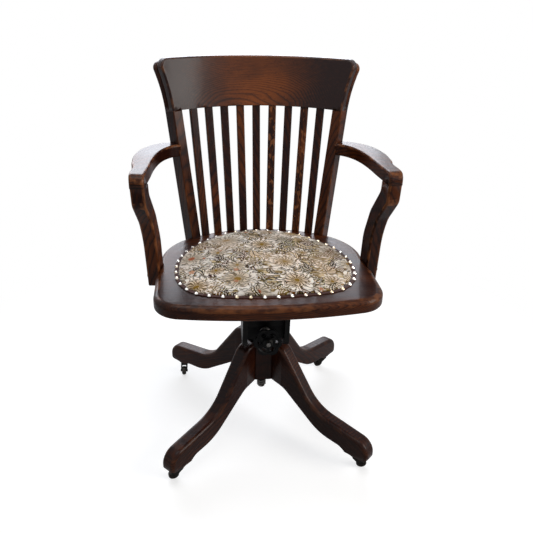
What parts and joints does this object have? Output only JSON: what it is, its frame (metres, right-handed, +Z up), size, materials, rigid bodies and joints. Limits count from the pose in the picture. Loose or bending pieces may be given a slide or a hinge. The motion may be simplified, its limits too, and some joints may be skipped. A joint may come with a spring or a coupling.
{
  "type": "bankers swivel chair",
  "caption": "Oak swivel armchair with a slatted curved back, a nailed tapestry pad, a tilting spring iron, a screw spindle for height and legs on castors.",
  "frame": {"origin": "on the floor, under the middle of the chair's outline; the swivel axis is vertical and 18 mm in front of it", "axes": "+Z up, the chair faces -Y, +X to the right seen from the front"},
  "size_m": [0.608, 0.5472, 0.922],
  "materials": {
    "oak": "dark red-brown stain, polished",
    "iron": "black japanned casting",
    "steel": "dull, oiled",
    "castor_metal": "dark, worn",
    "castor_wheel": "dulled and scratched",
    "tapestry": "woven flower pattern in cream, beige and olive",
    "gimp": "flat dark red-brown braid",
    "nails": "bright domes"
  },
  "bodies": {
    "base": {"hub": "oak", "leg_front_left": "oak", "leg_front_right": "oak", "leg_back_right": "oak", "leg_back_left": "oak", "hub_socket": "iron", "socket_screws": "steel", "spindle_key": "steel", "castor_plate_front_left": "castor_metal", "castor_plate_front_right": "castor_metal", "castor_plate_back_right": "castor_metal", "castor_plate_back_left": "castor_metal", "castor_plate_screws": "castor_metal"},
    "nut": {"height_nut": "iron"},
    "spindle": {"spindle": "steel", "spindle_nut": "steel"},
    "yoke": {"yoke": "iron", "trunnion_pin": "steel"},
    "bolt": {"tension_bolt": "steel", "tension_spring": "steel"},
    "cup": {"spring_cup": "iron"},
    "wheel": {"tension_wheel": "iron"},
    "seat": {"seat": "oak", "seat_pad": "tapestry", "pad_gimp": "gimp", "pad_nails": "nails", "seat_iron": "iron", "seat_iron_screws": "steel", "cross_pin": "steel", "pin_cotters": "steel", "crest_rail": "oak", "post_left": "oak", "post_right": "oak", "slat_1": "oak", "slat_2": "oak", "slat_3": "oak", "slat_4": "oak", "slat_5": "oak", "slat_6": "oak", "slat_7": "oak", "slat_8": "oak", "slat_9": "oak", "arm_left": "oak", "arm_right": "oak", "stump_left": "oak", "stump_right": "oak", "stump_screws": "steel", "stump_plugs": "oak"},
    "fork_front_left": {"castor_fork_front_left": "castor_metal", "castor_axle_front_left": "steel"},
    "roller_front_left": {"castor_wheel_front_left": "castor_wheel"},
    "fork_front_right": {"castor_fork_front_right": "castor_metal", "castor_axle_front_right": "steel"},
    "roller_front_right": {"castor_wheel_front_right": "castor_wheel"},
    "fork_back_right": {"castor_fork_back_right": "castor_metal", "castor_axle_back_right": "steel"},
    "roller_back_right": {"castor_wheel_back_right": "castor_wheel"},
    "fork_back_left": {"castor_fork_back_left": "castor_metal", "castor_axle_back_left": "steel"},
    "roller_back_left": {"castor_wheel_back_left": "castor_wheel"}
  },
  "joints": [
    {"name": "height_nut_turn", "type": "hinge", "parent": "base", "child": "nut", "pos_m": [0, -0.018, 0.277], "axis": [0, 0, 1], "range_deg": [-4681, 361]},
    {"name": "seat_height", "type": "slide", "parent": "base", "child": "spindle", "axis": [0, 0, 1], "range_m": [-0.006, 0.078]},
    {"name": "seat_swivel", "type": "hinge", "parent": "spindle", "child": "yoke", "pos_m": [0, -0.018, 0.32], "axis": [0, 0, 1], "continuous": true},
    {"name": "seat_tilt", "type": "hinge", "parent": "yoke", "child": "seat", "pos_m": [0, -0.018, 0.398], "axis": [-1, 0, 0], "range_deg": [0, 15], "stiffness_Nm_per_rad": 60, "springref_deg": -20.05, "deforming": ["tension_spring"]},
    {"name": "bolt_swing", "type": "hinge", "parent": "yoke", "child": "bolt", "pos_m": [0, -0.05, 0.304], "axis": [-1, 0, 0], "range_deg": [0, 15.5]},
    {"name": "tension_travel", "type": "slide", "parent": "bolt", "child": "cup", "axis": [0, -0.9833, 0.1822], "range_m": [-0.004, 0.006]},
    {"name": "tension_wheel_turn", "type": "hinge", "parent": "cup", "child": "wheel", "pos_m": [0, -0.15521, 0.3235], "axis": [0, -0.9833, 0.1822], "range_deg": [-721, 1081]},
    {"name": "castor_swivel_front_left", "type": "hinge", "parent": "base", "child": "fork_front_left", "pos_m": [-0.21638, -0.23438, 0.05], "axis": [0, 0, 1], "continuous": true},
    {"name": "castor_roll_front_left", "type": "hinge", "parent": "fork_front_left", "child": "roller_front_left", "pos_m": [-0.23183, -0.23852, 0.013], "axis": [0.2588, -0.9659, 0], "continuous": true},
    {"name": "castor_swivel_front_right", "type": "hinge", "parent": "base", "child": "fork_front_right", "pos_m": [0.21638, -0.23438, 0.05], "axis": [0, 0, 1], "continuous": true},
    {"name": "castor_roll_front_right", "type": "hinge", "parent": "fork_front_right", "child": "roller_front_right", "pos_m": [0.23213, -0.23715, 0.013], "axis": [0.1736, 0.9848, 0], "continuous": true},
    {"name": "castor_swivel_back_right", "type": "hinge", "parent": "base", "child": "fork_back_right", "pos_m": [0.21638, 0.19837, 0.05], "axis": [0, 0, 1], "continuous": true},
    {"name": "castor_roll_back_right", "type": "hinge", "parent": "fork_back_right", "child": "roller_back_right", "pos_m": [0.20062, 0.1956, 0.013], "axis": [0.1736, -0.9848, 0], "continuous": true},
    {"name": "castor_swivel_back_left", "type": "hinge", "parent": "base", "child": "fork_back_left", "pos_m": [-0.21638, 0.19837, 0.05], "axis": [0, 0, 1], "continuous": true},
    {"name": "castor_roll_back_left", "type": "hinge", "parent": "fork_back_left", "child": "roller_back_left", "pos_m": [-0.21777, 0.18244, 0.013], "axis": [0.9962, -0.0872, 0], "continuous": true}
  ],
  "couplings": [
    {"joint": "height_nut_turn", "follows": "seat_height", "rad_per_m": -1047.2},
    {"joint": "bolt_swing", "follows": "seat_tilt", "ratio": 1.0245},
    {"joint": "tension_wheel_turn", "follows": "tension_travel", "rad_per_m": 3141.6}
  ]
}
